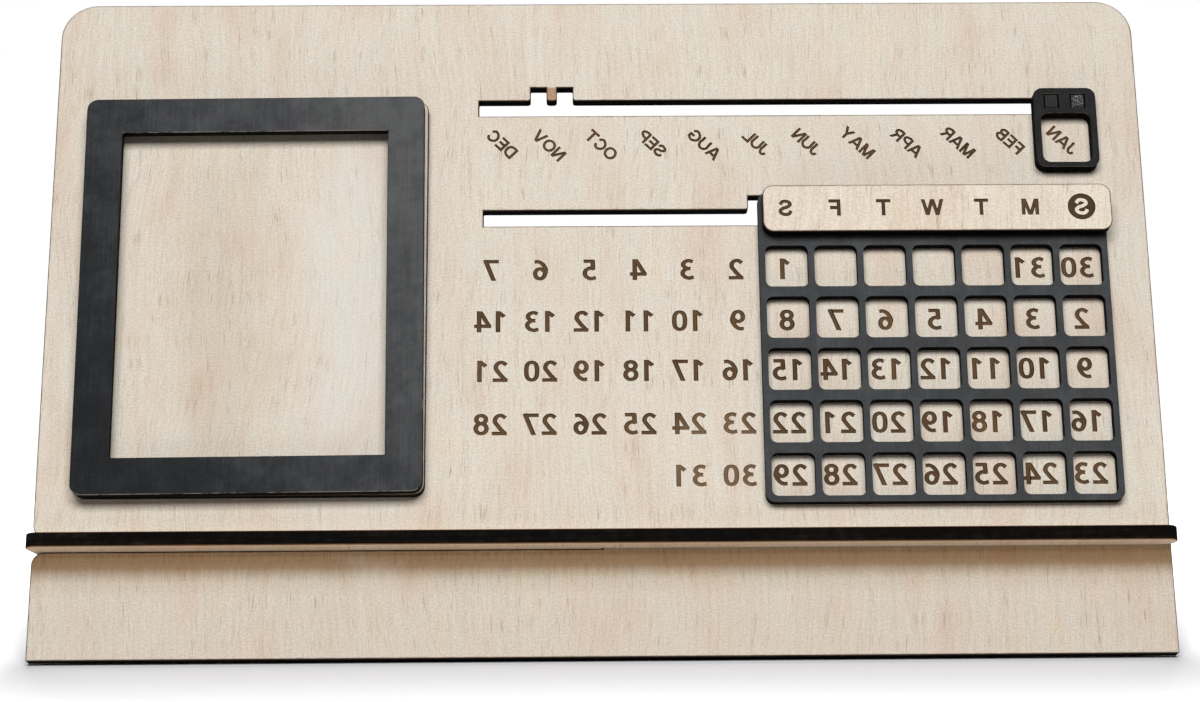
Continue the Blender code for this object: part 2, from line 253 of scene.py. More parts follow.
def charred_edge(name, tilt, across, tones):
    """Laser-cut ply edge: soot black, with the faint brown lines of its plies and the beam's fine
    ridges. Across gives the pattern's scale, which is 1 across the plies and small along them."""
    look, tree, shader = new_material(name)
    place = in_millimetres(tree, tilt)
    # The plies and their glue lines run along the edge, so the bands follow one axis only.
    plies = add(tree, "Mapping", {"Scale": across}, {"Vector": place})
    bands = add(tree, "TexNoise", {"Scale": 1 / 0.8, "Detail": 2}, {"Vector": plies.outputs[0]})
    soot = add(tree, "TexNoise", {"Scale": 1 / 2.5, "Detail": 4}, {"Vector": place})
    mixed = add(tree, "Math", {"operation": "MULTIPLY"}, {0: bands.outputs[0], 1: soot.outputs[0]})
    tone = add(tree, "ValToRGB", {"ramp": tones}, {"Fac": mixed.outputs[0]})
    dress(tree, shader, tone.outputs[0], soot.outputs[0], strength=0.4, depth=0.06, specular=0.06)
    shader.inputs["Roughness"].default_value = 0.9
    return look


# How much of a scorched face's pattern is clouds. The rest is fibres.
CLOUD_SHARE = 0.55


def scorched(name, tones, tilt):
    """Wood that the beam has only browned: an arris, or the floor of an engraved line."""
    look, tree, shader = new_material(name)
    place = in_millimetres(tree, tilt)
    fibre = streaks(tree, place, width=0.3, length=2.5, detail=2)
    cloud = add(tree, "TexNoise", {"Scale": 1 / 22, "Detail": 2}, {"Vector": place})
    blend = add(tree, "Mix", {"data_type": "FLOAT", 0: CLOUD_SHARE}, {2: fibre, 3: cloud.outputs[0]})
    tone = add(tree, "ValToRGB", {"ramp": tones}, {"Fac": blend.outputs[0]})
    dress(tree, shader, tone.outputs[0], fibre, strength=0.5, depth=0.05, specular=0.3)
    shader.inputs["Roughness"].default_value = 0.8
    return look


def work_on(piece):
    bpy.ops.object.select_all(action="DESELECT")
    piece.select_set(True)
    bpy.context.view_layer.objects.active = piece


# How close points are merged, and the step that coordinates are rounded to.
MERGE = 0.001 * MM
SNAP = 0.0001 * MM
# Faces that meet at less than the first angle are one plane, at less than the second they are shaded as
# one curve, and a fold past the third is an arris.
ONE_PLANE = math.radians(0.5)
ONE_CURVE = math.radians(30)
SHARP = math.radians(40)
# How squarely a flat face and a cut edge face, as the cosine with the flat faces' axis.
FLAT = 0.999
ON_EDGE = 0.02
# A face is marked as worn where it looks down along the panel by more than this cosine.
FACING_DOWN = 0.5


def cut_piece(node, name, facing, arris, rim, looks):
    """A merged copy of a CAD piece in the panel's axes, with its arrises taken off. On bare wood an inset
    rim round each flat face carries the smoke stain. Faces that look down along the panel are marked, for
    the paint that is worn there. The looks are for flat faces, cut edges and arrises, and facing is the
    axis of the flat faces."""
    piece = bpy.data.objects.new(name, frame["nodes"][node].data.copy())
    piece.data.name = name
    bpy.context.scene.collection.objects.link(piece)
    piece.data.materials.clear()
    for look in looks:
        piece.data.materials.append(look)
    # Turned flat, the faces are made exactly plane again.
    piece.data.transform(panel_plane.inverted())
    for vertex in piece.data.vertices:
        vertex.co = [round(share / SNAP) * SNAP for share in vertex.co]
    work_on(piece)
    bpy.ops.mesh.customdata_custom_splitnormals_clear()
    bpy.ops.object.mode_set(mode="EDIT")
    bpy.ops.mesh.select_mode(type="EDGE")
    bpy.ops.mesh.select_all(action="SELECT")
    bpy.ops.mesh.remove_doubles(threshold=MERGE)
    bpy.ops.mesh.dissolve_limited(angle_limit=ONE_PLANE)
    bpy.ops.mesh.select_all(action="DESELECT")
    bpy.ops.mesh.edges_select_sharp(sharpness=SHARP)
    bpy.ops.mesh.bevel(offset=arris, segments=1, loop_slide=False, clamp_overlap=True)
    bpy.ops.mesh.select_all(action="DESELECT")
    bpy.ops.mesh.select_mode(type="FACE")
    bpy.ops.object.mode_set(mode="OBJECT")
    for face in piece.data.polygons:
        squareness = abs(face.normal.dot(facing))
        face.select = squareness > FLAT
        face.material_index = 0 if squareness > FLAT else 1 if squareness < ON_EDGE else 2
    if rim:
        bpy.ops.object.mode_set(mode="EDIT")
        bpy.ops.mesh.inset(thickness=rim, depth=0)
        bpy.ops.object.mode_set(mode="OBJECT")
    inner = {corner for face in piece.data.polygons if face.select for corner in face.vertices}
    stain = piece.data.attributes.new("rim", "FLOAT", "POINT")
    for vertex in piece.data.vertices:
        stain.data[vertex.index].value = 0 if vertex.index in inner else 1
    wear = piece.data.attributes.new("wear", "FLOAT", "FACE")
    for face in piece.data.polygons:
        wear.data[face.index].value = 1 if face.normal.y < -FACING_DOWN else 0
    return piece


def stand_up(piece, node, body):
    """Turns a finished piece back to its place on the leaning panel, hides the CAD node it stands for, and
    hangs it on its body.
    """
    piece.data.transform(panel_plane)
    work_on(piece)
    bpy.ops.object.shade_smooth_by_angle(angle=ONE_CURVE)
    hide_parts(node)
    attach(piece, body)


# Pen strokes of the lettering, as shares of its height: two points are a straight stroke, more are a bend,
# and a stroke that ends where it starts is a loop. A straight stroke may run past the height, where it is
# trimmed. The width of each letter comes first.
DIGITS = {
    "0": (0.70, [[(0.35, 0.917), (0.108, 0.5), (0.35, 0.083), (0.592, 0.5), (0.35, 0.917)]]),
    "1": (0.44, [[(0.335, -0.1), (0.335, 1.1)], [(0.05, 0.735), (0.32, 0.945)]]),
    "2": (0.68, [
        [(0.06, 0.80), (0.31, 0.917), (0.54, 0.705), (0.40, 0.42), (0.12, 0.10)],
        [(0.01, 0.083), (0.68, 0.083)],
    ]),
    "3": (0.63, [
        [(0.05, 0.865), (0.28, 0.917), (0.49, 0.735), (0.34, 0.56), (0.16, 0.535)],
        [(0.16, 0.535), (0.36, 0.515), (0.522, 0.295), (0.28, 0.083), (0.02, 0.13)],
    ]),
    "4": (0.76, [
        [(0.535, -0.1), (0.535, 1.1)],
        [(0.06, 0.24), (0.56, 1.10)],
        [(0.0, 0.285), (0.76, 0.285)],
    ]),
    "5": (0.62, [
        [(0.10, 0.917), (0.57, 0.917)],
        [(0.155, 0.98), (0.135, 0.50)],
        [(0.10, 0.545), (0.31, 0.575), (0.512, 0.335), (0.29, 0.083), (0.01, 0.125)],
    ]),
    "6": (0.68, [
        [(0.60, 0.885), (0.42, 0.90), (0.16, 0.68), (0.108, 0.36), (0.35, 0.083), (0.572, 0.315),
         (0.37, 0.56), (0.13, 0.42)],
    ]),
    "7": (0.69, [[(0.0, 0.917), (0.69, 0.917)], [(0.625, 1.0), (0.19, -0.1)]]),
    "8": (0.70, [
        [(0.35, 0.917), (0.135, 0.74), (0.35, 0.54), (0.565, 0.74), (0.35, 0.917)],
        [(0.35, 0.54), (0.108, 0.30), (0.35, 0.083), (0.592, 0.30), (0.35, 0.54)],
    ]),
}
DIGITS["9"] = (0.68, [[(0.68 - x, 1 - y) for x, y in stroke] for stroke in DIGITS["6"][1]])

STEM = [(0.085, -0.1), (0.085, 1.1)]
LETTERS = {
    "A": (0.98, [[(0.05, -0.1), (0.50, 1.1)], [(0.93, -0.1), (0.48, 1.1)], [(0.22, 0.31), (0.76, 0.31)]]),
    "B": (0.80, [
        STEM,
        [(0.05, 0.915), (0.40, 0.915), (0.60, 0.73), (0.40, 0.53), (0.05, 0.53)],
        [(0.05, 0.53), (0.44, 0.53), (0.66, 0.30), (0.44, 0.085), (0.05, 0.085)],
    ]),
    "C": (0.88, [
        [(0.78, 0.70), (0.64, 0.87), (0.45, 0.915), (0.085, 0.5), (0.45, 0.085), (0.66, 0.14),
         (0.79, 0.33)],
    ]),
    "D": (0.84, [
        STEM,
        [(0.05, 0.915), (0.35, 0.915), (0.62, 0.82), (0.74, 0.5), (0.62, 0.18), (0.35, 0.085),
         (0.05, 0.085)],
    ]),
    "E": (0.72, [
        STEM,
        [(0.0, 0.915), (0.70, 0.915)],
        [(0.0, 0.52), (0.65, 0.52)],
        [(0.0, 0.085), (0.72, 0.085)],
    ]),
    "F": (0.68, [STEM, [(0.0, 0.915), (0.68, 0.915)], [(0.0, 0.50), (0.60, 0.50)]]),
    "G": (0.92, [
        [(0.80, 0.72), (0.66, 0.87), (0.47, 0.915), (0.085, 0.5), (0.47, 0.085), (0.70, 0.13),
         (0.84, 0.22)],
        [(0.84, 0.14), (0.84, 0.54)],
        [(0.50, 0.46), (0.92, 0.46)],
    ]),
    "J": (0.58, [[(0.50, 1.1), (0.50, 0.62), (0.49, 0.28), (0.28, 0.085), (0.09, 0.20), (0.07, 0.34)]]),
    "L": (0.70, [STEM, [(0.0, 0.085), (0.70, 0.085)]]),
    "M": (0.96, [
        STEM,
        [(0.875, -0.1), (0.875, 1.1)],
        [(0.09, 1.12), (0.50, -0.1)],
        [(0.87, 1.12), (0.46, -0.1)],
    ]),
    "N": (0.82, [STEM, [(0.735, -0.1), (0.735, 1.1)], [(0.03, 1.12), (0.79, -0.12)]]),
    "O": (0.98, [[(0.49, 0.915), (0.085, 0.5), (0.49, 0.085), (0.895, 0.5), (0.49, 0.915)]]),
    "P": (0.76, [
        STEM,
        [(0.05, 0.915), (0.42, 0.915), (0.66, 0.70), (0.42, 0.47), (0.05, 0.47)],
    ]),
    "R": (0.84, [
        STEM,
        [(0.05, 0.915), (0.44, 0.915), (0.67, 0.71), (0.44, 0.50), (0.05, 0.50)],
        [(0.40, 0.52), (0.80, -0.1)],
    ]),
    "S": (0.80, [
        [(0.70, 0.70), (0.59, 0.87), (0.40, 0.915), (0.13, 0.74), (0.30, 0.55), (0.56, 0.46),
         (0.70, 0.28), (0.42, 0.085), (0.17, 0.15), (0.08, 0.32)],
    ]),
    "T": (0.84, [[(0.0, 0.915), (0.84, 0.915)], [(0.42, -0.1), (0.42, 1.0)]]),
    "U": (0.82, [
        [(0.085, 1.1), (0.085, 0.70), (0.105, 0.27), (0.41, 0.085), (0.715, 0.27), (0.735, 0.70),
         (0.735, 1.1)],
    ]),
    "V": (0.92, [[(0.05, 1.1), (0.48, -0.1)], [(0.87, 1.1), (0.44, -0.1)]]),
    "W": (1.26, [
        [(0.05, 1.1), (0.37, -0.1)],
        [(0.31, -0.1), (0.65, 1.1)],
        [(0.61, 1.1), (0.95, -0.1)],
        [(0.89, -0.1), (1.21, 1.1)],
    ]),
    "Y": (0.90, [[(0.45, -0.1), (0.45, 0.5)], [(0.04, 1.1), (0.47, 0.40)], [(0.86, 1.1), (0.43, 0.40)]]),
}

# The groove's depth, how far each side leans in towards its floor, how far a cutter stands out of it, and
# the steps of a bend from one point to the next.
GROOVE_DEPTH = 0.28 * MM
GROOVE_DRAFT = 0.16 * MM
GROOVE_OVERRUN = 0.2 * MM
BEND_STEPS = 5
# A face of a cutter that looks down more squarely than this cosine is the groove's floor.
GROOVE_FLOOR = 0.95


def letter_cutter(name, strokes, height, pen, stretch, looks):
    """One letter's groove: a section that narrows with depth, swept along each stroke. The stretch is how
    much thicker the pen is across than up and down. The looks are for the floor and the sides."""
    half = pen / 2
    floor_half = half - GROOVE_DRAFT
    flare = GROOVE_DRAFT * GROOVE_OVERRUN / GROOVE_DEPTH
    section = bpy.data.curves.new("groove_section", "CURVE")
    ring = section.splines.new("POLY")
    ring.points.add(3)
    corners = [
        (-floor_half, -GROOVE_DEPTH),
        (floor_half, -GROOVE_DEPTH),
        (half + flare, GROOVE_OVERRUN),
        (-half - flare, GROOVE_OVERRUN),
    ]
    for point, (x, y) in zip(ring.points, corners):
        point.co = (x, y, 0, 1)
    ring.use_cyclic_u = True
    section_object = bpy.data.objects.new("groove_section", section)
    parts = []
    for stroke in strokes:
        closed = stroke[0] == stroke[-1]
        knots = stroke[:-1] if closed else stroke
        path = bpy.data.curves.new(name, "CURVE")
        path.dimensions = "3D"
        path.twist_mode = "Z_UP"
        path.resolution_u = BEND_STEPS
        path.bevel_mode = "OBJECT"
        path.bevel_object = section_object
        path.use_fill_caps = True
        spline = path.splines.new("BEZIER")
        spline.bezier_points.add(len(knots) - 1)
        for knot, (x, y) in zip(spline.bezier_points, knots):
            knot.co = (x * height / stretch, y * height, 0)
            handle = "VECTOR" if len(knots) == 2 else "AUTO"
            knot.handle_left_type = handle
            knot.handle_right_type = handle
        spline.use_cyclic_u = closed
        part = bpy.data.objects.new(name, path)
        bpy.context.scene.collection.objects.link(part)
        work_on(part)
        bpy.ops.object.convert(target="MESH")
        part = bpy.context.object
        part.data.transform(Matrix.Scale(stretch, 4, (1, 0, 0)))
        bpy.ops.object.mode_set(mode="EDIT")
        bpy.ops.mesh.select_mode(type="FACE")
        bpy.ops.mesh.select_all(action="SELECT")
        bpy.ops.mesh.remove_doubles(threshold=MERGE)
        bpy.ops.mesh.normals_make_consistent(inside=False)
        # Slanted strokes run past the letter's height, and are trimmed level there.
        for trim, outward in ((0, -1), (height, 1)):
            reach = [point[1] * outward for point in knots]
            if max(reach) * height > trim * outward:
                bpy.ops.mesh.select_all(action="SELECT")
                bpy.ops.mesh.bisect(
                    plane_co=(0, trim, 0), plane_no=(0, outward, 0), use_fill=True, clear_outer=True,
                    threshold=SNAP,
                )
        bpy.ops.mesh.select_all(action="SELECT")
        bpy.ops.mesh.quads_convert_to_tris()
        bpy.ops.object.mode_set(mode="OBJECT")
        parts.append(part)
    bpy.ops.object.select_all(action="DESELECT")
    for part in parts:
        part.select_set(True)
    bpy.ops.object.join()
    letter = bpy.context.object
    letter.data.materials.clear()
    for look in looks:
        letter.data.materials.append(look)
    for face in letter.data.polygons:
        face.material_index = 0 if face.normal.z < -GROOVE_FLOOR else 1
    bpy.data.objects.remove(section_object)
    return letter


def word(text, glyphs, widths, height, gap, cell=None):
    """A word's letters, as (letter, x) with the word's middle at 0, in fixed cells or by their widths."""
    places = []
    run = 0
    for character in text:
        width = widths[character] * height
        places.append((character, run + ((cell - width) / 2 if cell else 0)))
        run += cell if cell else width + gap
    total = run if cell else run - gap
    return [(glyphs[character], x - total / 2) for character, x in places]


def engrave(piece, placed):
    """Cuts letters into a piece. Each is a cutter with the matrix that puts it there."""
    copies = []
    for letter, matrix in placed:
        copy = bpy.data.objects.new("cutter", letter.data.copy())
        copy.data.transform(matrix)
        if matrix.determinant() < 0:
            copy.data.flip_normals()
        bpy.context.scene.collection.objects.link(copy)
        copies.append(copy)
    work_on(copies[0])
    for copy in copies:
        copy.select_set(True)
    bpy.ops.object.join()
    cutter = bpy.context.object
    work_on(piece)
    cut = piece.modifiers.new("engrave", "BOOLEAN")
    cut.object = cutter
    cut.operation = "DIFFERENCE"
    cut.solver = "EXACT"
    cut.use_self = True
    cut.material_mode = "TRANSFER"
    bpy.ops.object.modifier_apply(modifier=cut.name)
    bpy.data.objects.remove(cutter)


out_of_panel = Vector((0, 0, 1))
along_grain = math.pi / 2 - lean
panel_tones = [
    (0.32, "#ddcec0"),
    (0.42, "#e1d6c9"),
    (0.50, "#e1d9cd"),
    (0.58, "#e0dbd0"),
    (0.70, "#e5daca"),
]
panel_veneer = sanded_veneer("poplar_veneer_panel", along_grain, panel_tones)

# Below the crossed joint the stand board's shadow is painted into the veneer as a brown band that fades
# down the grain. The painted shadow is given by its depth under the stand board, in shares of its reach in
# millimetres, and its fringe follows the fibres.
SHELF_SHADE_REACH = 14.0
SHELF_SHADE_FRINGE = 0.7
tree = panel_veneer.node_tree
on_sheet = in_millimetres(tree, along_grain)
sheet_xyz = add(tree, "SeparateXYZ", None, {0: on_sheet})
stand_low, stand_high = flat_box("stand_board")
joint_foot = stand_low.y / MM
shade_fibres = streaks(tree, on_sheet, width=1.1, length=14, detail=3)
fringe = add(
    tree,
    "MapRange",
    {"To Min": -SHELF_SHADE_FRINGE / SHELF_SHADE_REACH, "To Max": SHELF_SHADE_FRINGE / SHELF_SHADE_REACH},
    {"Value": shade_fibres},
)
depth = add(
    tree,
    "MapRange",
    {"From Min": joint_foot, "From Max": joint_foot - SHELF_SHADE_REACH, "clamp": False},
    {"Value": sheet_xyz.outputs["Y"]},
)
ragged = add(tree, "Math", {"operation": "ADD"}, {0: depth.outputs[0], 1: fringe.outputs[0]})
below = add(tree, "Math", {"operation": "GREATER_THAN", 1: 0}, {0: depth.outputs[0]})
# Painted shadow: the ramp multiplies the veneer brown from the stand board down, darkest a few millimetres
# under it.
painted_shelf_shadow_tones = [
    (0.00, "#fff5d7"),
    (0.06, "#fcddbb"),
    (0.10, "#d0b48f"),
    (0.20, "#a4886b"),
    (0.27, "#9a8164"),
    (0.33, "#9f886e"),
    (0.49, "#cec6bb"),
    (0.61, "#e6e1dc"),
    (0.90, "#f2efee"),
]
painted_shelf_shadow = add(tree, "ValToRGB", {"ramp": painted_shelf_shadow_tones}, {"Fac": ragged.outputs[0]})
coloured_over(panel_veneer, "MULTIPLY", below.outputs[0], painted_shelf_shadow.outputs[0])

# The thin tongue between the two gates of the upper slot, above November, is browned right through. Its
# place and the soft borders of the brown are in millimetres.
TONGUE_HALF = 1.5
TONGUE_ABOVE_CURSOR = 2.3
TONGUE_BELOW_CURSOR_TOP = 4
SIDE_BLUR = 0.4
TOP_BLUR = 0.5
cursor_low, cursor_high = flat_box("month_cursor")
month_travel = frame["record"]["behaviour"]["joints"][0]["range_m"][1]
MONTH_STEPS = 11
tongue_middle = (cursor_low.x + cursor_high.x) / 2 - month_travel * (MONTH_STEPS - 1) / MONTH_STEPS
aside = add(tree, "Math", {"operation": "SUBTRACT", 1: tongue_middle / MM}, {0: sheet_xyz.outputs["X"]})
aside = add(tree, "Math", {"operation": "ABSOLUTE"}, {0: aside.outputs[0]})
narrow = add(
    tree,
    "MapRange",
    {"From Min": TONGUE_HALF, "From Max": TONGUE_HALF + SIDE_BLUR, "To Min": 1, "To Max": 0},
    {"Value": aside.outputs[0]},
)
tongue_top = cursor_high.y / MM + TONGUE_ABOVE_CURSOR
low_down = add(
    tree,
    "MapRange",
    {"From Min": tongue_top, "From Max": tongue_top + TOP_BLUR, "To Min": 1, "To Max": 0},
    {"Value": sheet_xyz.outputs["Y"]},
)
tongue_foot = cursor_high.y / MM - TONGUE_BELOW_CURSOR_TOP
high_up = add(tree, "Math", {"operation": "GREATER_THAN", 1: tongue_foot}, {0: sheet_xyz.outputs["Y"]})
on_tongue = add(tree, "Math", {"operation": "MULTIPLY"}, {0: narrow.outputs[0], 1: low_down.outputs[0]})
tongue_share = add(
    tree, "Math", {"operation": "MULTIPLY"}, {0: on_tongue.outputs[0], 1: high_up.outputs[0]}
)
coloured_over(panel_veneer, "MULTIPLY", tongue_share.outputs[0], linear("#cdb094"))

# In the photo frame's window the veneer is browner left of the middle, and paler and cooler at the right.
# Each patch is an oval. Its middle, to the right of the frame's and up, and its half width and height are
# in millimetres, and its blend, its greatest share and its colour follow.
PATCHES = [
    (-9, -4, 23, 80, "MULTIPLY", 1.0, "#f4f0ec"),
    (28, -4, 24, 90, "MIX", 0.32, "#dcdcd8"),
]
# The distance from a patch's middle, in shares of its oval, has noise added to make the border uneven. The
# patch is full up to the first sum and gone past the second.
PATCH_FULL = 0.65
PATCH_GONE = 1.35
PATCH_UNEVEN = 0.9
frame_low, frame_high = flat_box("frame_front")
frame_middle = (frame_low + frame_high) / 2
border = add(tree, "TexNoise", {"Scale": 1 / 14, "Detail": 2}, {"Vector": on_sheet})
for right, up, half_width, half_height, blend, most, colour in PATCHES:
    settings = {
        "vector_type": "TEXTURE",
        "Location": (frame_middle.x / MM + right, frame_middle.y / MM + up, 0),
        "Scale": (half_width, half_height, 1),
    }
    oval = add(tree, "Mapping", settings, {"Vector": on_sheet})
    far = add(tree, "VectorMath", {"operation": "LENGTH"}, {0: oval.outputs[0]})
    uneven = add(
        tree,
        "Math",
        {"operation": "MULTIPLY_ADD", 1: PATCH_UNEVEN},
        {0: border.outputs[0], 2: far.outputs["Value"]},
    )
    patch = add(
        tree,
        "MapRange",
        {"From Min": PATCH_GONE, "From Max": PATCH_FULL, "To Max": most},
        {"Value": uneven.outputs[0]},
    )
    coloured_over(panel_veneer, blend, patch.outputs[0], linear(colour))

# The plies' lines run 25 times as far along a cut edge as they are apart.
ALONG_EDGE = 0.04
char_tones = [(0.20, "#050404"), (0.34, "#0c0a08"), (0.50, "#20160e")]
panel_edge = charred_edge("charred_ply_edge", along_grain, (ALONG_EDGE, ALONG_EDGE, 1), char_tones)
scorch_tones = [(0.30, "#33271d"), (0.55, "#4b3a2b"), (0.75, "#705a44")]
arris_scorch = scorched("scorched_arris", scorch_tones, along_grain)
floor_tones = [(0.34, "#463019"), (0.52, "#563e23"), (0.70, "#705432")]
burnt_floor = scorched("laser_burnt_floor", floor_tones, along_grain)
side_tones = [(0.34, "#2a1b0b"), (0.55, "#3e2914"), (0.75, "#5b4226")]
burnt_side = scorched("laser_burnt_side", side_tones, along_grain)

CUT_ARRIS = 0.22 * MM
PANEL_RIM = 0.5 * MM
bare_looks = [panel_veneer, panel_edge, arris_scorch]
panel = cut_piece("back_panel", "plywood_panel", out_of_panel, CUT_ARRIS, PANEL_RIM, bare_looks)

# The calendar is made as the mirror image of the real one, so every letter is cut mirrored.
mirror = Matrix.Scale(-1, 4, (1, 0, 0))
engraved_looks = [burnt_floor, burnt_side]

DATE_HEIGHT = 6.0 * MM
DATE_PEN = 1.0 * MM
DATE_STRETCH = 1.26
DATE_CELL = 4.88 * MM
DATE_COLUMN = 13.33 * MM
DATE_ROW = 14.54 * MM
# How far each row strays from its even place, to the right and up, in millimetres.
ROW_STRAYS = [(-0.05, -0.08), (0.08, -0.25), (0.02, 0.24), (-0.18, -0.08), (-0.30, 0.03)]
LAST_COLUMN_FROM_GRID = 7.83 * MM
FIRST_ROW_BELOW_GRID_TOP = 20.9 * MM
digit_cutters = {
    name: letter_cutter("digit_" + name, strokes, DATE_HEIGHT, DATE_PEN, DATE_STRETCH, engraved_looks)
    for name, (width, strokes) in DIGITS.items()
}
digit_widths = {name: width for name, (width, strokes) in DIGITS.items()}
grid_low, grid_high = flat_box("week_grid")
last_column = grid_high.x - LAST_COLUMN_FROM_GRID
first_row = grid_high.y - FIRST_ROW_BELOW_GRID_TOP
DAYS = 7
DATE_COLUMNS = 2 * DAYS - 1
DATE_ROWS = 5
LONGEST_MONTH = 31

# The beam burned fainter round the spot between the 23, 24, 30 and 31. The distances from it at which that
# starts and is full are in millimetres.
FAINT_COLUMN = 4.5
FAINT_ROW = 3.5
FAINT_FROM = 17
FAINT_FULLY = 11
FAINT_SHARE = 0.36
faint_x = last_column - (DATE_COLUMNS - 1 - FAINT_COLUMN) * DATE_COLUMN
faint_y = first_row - FAINT_ROW * DATE_ROW - DATE_HEIGHT / 2
for look in engraved_looks:
    tree = look.node_tree
    place = in_millimetres(tree, along_grain)
    centre = (faint_x / MM, faint_y / MM, 0)
    away = add(tree, "VectorMath", {"operation": "DISTANCE", 1: centre}, {0: place})
    faint = add(
        tree,
        "MapRange",
        {"From Min": FAINT_FROM, "From Max": FAINT_FULLY, "To Max": FAINT_SHARE},
        {"Value": away.outputs["Value"]},
    )
    coloured_over(look, "MIX", faint.outputs[0], linear("#8f7458"))

placed = []
for row, (right, up) in enumerate(ROW_STRAYS):
    for column in range(DATE_COLUMNS):
        date = DAYS * row + DAYS - column
        if date < 1:
            date += DAYS * DATE_ROWS
        if date > LONGEST_MONTH:
            continue
        x = last_column - (DATE_COLUMNS - 1 - column) * DATE_COLUMN + right * MM
        y = first_row - row * DATE_ROW + up * MM - DATE_HEIGHT / 2
        spot = Matrix.Translation((x, y, 0)) @ mirror
        for cutter, shift in word(str(date), digit_cutters, digit_widths, DATE_HEIGHT, 0, DATE_CELL):
            placed.append((cutter, spot @ Matrix.Translation((shift, 0, 0))))

# Each month with how far it strays from its even place, to the right and up, in millimetres.
MONTHS = [
    ("JAN", 0.41, 0.25),
    ("FEB", -0.11, 0.25),
    ("MAR", -0.35, -0.06),
    ("APR", -0.36, -0.17),
    ("MAY", 0.0, -0.05),
    ("JUN", 0.10, 0.15),
    ("JUL", 0.30, 0.10),
    ("AUG", 0.11, -0.45),
    ("SEP", -0.25, -0.03),
    ("OCT", -0.16, -0.48),
    ("NOV", -0.52, -0.45),
    ("DEC", 0.63, 0.03),
]
MONTH_HEIGHT = 3.58 * MM
MONTH_PEN = 0.71 * MM
MONTH_STRETCH = 1.08
MONTH_GAP = 0.36 * MM
MONTH_TURN = math.radians(45)
MONTH_PITCH = 14.14 * MM
MONTH_SHIFT = -0.9 * MM
MONTH_BELOW_CURSOR_TOP = 14.28 * MM
letter_widths = {name: width for name, (width, strokes) in LETTERS.items()}
month_cutters = {
    name: letter_cutter(
        "letter_" + name, LETTERS[name][1], MONTH_HEIGHT, MONTH_PEN, MONTH_STRETCH, engraved_looks
    )
    for name in sorted(set("".join(month for month, right, up in MONTHS)))
}
january = (cursor_low.x + cursor_high.x) / 2 + MONTH_SHIFT
month_line = cursor_high.y - MONTH_BELOW_CURSOR_TOP
for count, (month, right, up) in enumerate(MONTHS):
    spot = (
        Matrix.Translation((january - count * MONTH_PITCH + right * MM, month_line + up * MM, 0))
        @ mirror
        @ Matrix.Rotation(MONTH_TURN, 4, "Z")
        @ Matrix.Translation((0, -MONTH_HEIGHT / 2, 0))
    )
    for cutter, shift in word(month, month_cutters, letter_widths, MONTH_HEIGHT, MONTH_GAP):
        placed.append((cutter, spot @ Matrix.Translation((shift, 0, 0))))
engrave(panel, placed)
for cutter in list(digit_cutters.values()) + list(month_cutters.values()):
    bpy.data.objects.remove(cutter)
stand_up(panel, "back_panel", "panel")

# The stand board: the same plywood, held in a half-lap slot across the panel by its tight fit. Its front
# edge shows as the ledge, and the wide rear part reaches down to the desk behind the panel as the prop.

out_of_stand = Vector((0, 1, 0))
# The stand's veneer is the panel's plywood with its tones painted warmer: painted warm shade and bounce
# light, as on the ledge's underside, which is seen in shade.
stand_tones_painted_warm = [(0.30, "#e3cbb0"), (0.46, "#ebd4ba"), (0.60, "#eed9c1"), (0.76, "#eed9bf")]
stand_veneer = sanded_veneer("poplar_veneer_stand_painted_warm", -lean, stand_tones_painted_warm)
stand_char_tones = [(0.20, "#080706"), (0.34, "#120f0c"), (0.50, "#261d16")]
stand_edge = charred_edge(
    "charred_stand_edge", along_grain, (ALONG_EDGE, 1, ALONG_EDGE), stand_char_tones
)
stand_scorch_tones = [(0.30, "#4f3216"), (0.55, "#704820"), (0.75, "#8d653c")]
stand_scorch = scorched("scorched_stand_arris", stand_scorch_tones, along_grain)
stand_looks = [stand_veneer, stand_edge, stand_scorch]
stand = cut_piece("stand_board", "plywood_stand", out_of_stand, CUT_ARRIS, PANEL_RIM, stand_looks)
stand_up(stand, "stand_board", "panel")

# The photo frame: a U-shaped spacer of bare 3 mm plywood glued to the panel, and over it a ring of the same
# sheet sprayed satin charcoal before it was cut, so its cut edges are soot black and its arrises are worn.

spacer = cut_piece("frame_spacer", "plywood_spacer", out_of_panel, CUT_ARRIS, PANEL_RIM, bare_looks)
stand_up(spacer, "frame_spacer", "panel")


# How strongly the paint's pattern follows its blotches and the grain. It is shifted to average a half.
BLOTCHES = 1.2
GRAIN_THROUGH = 0.35
COAT_SHIFT = 0.5 - (BLOTCHES + GRAIN_THROUGH) / 2


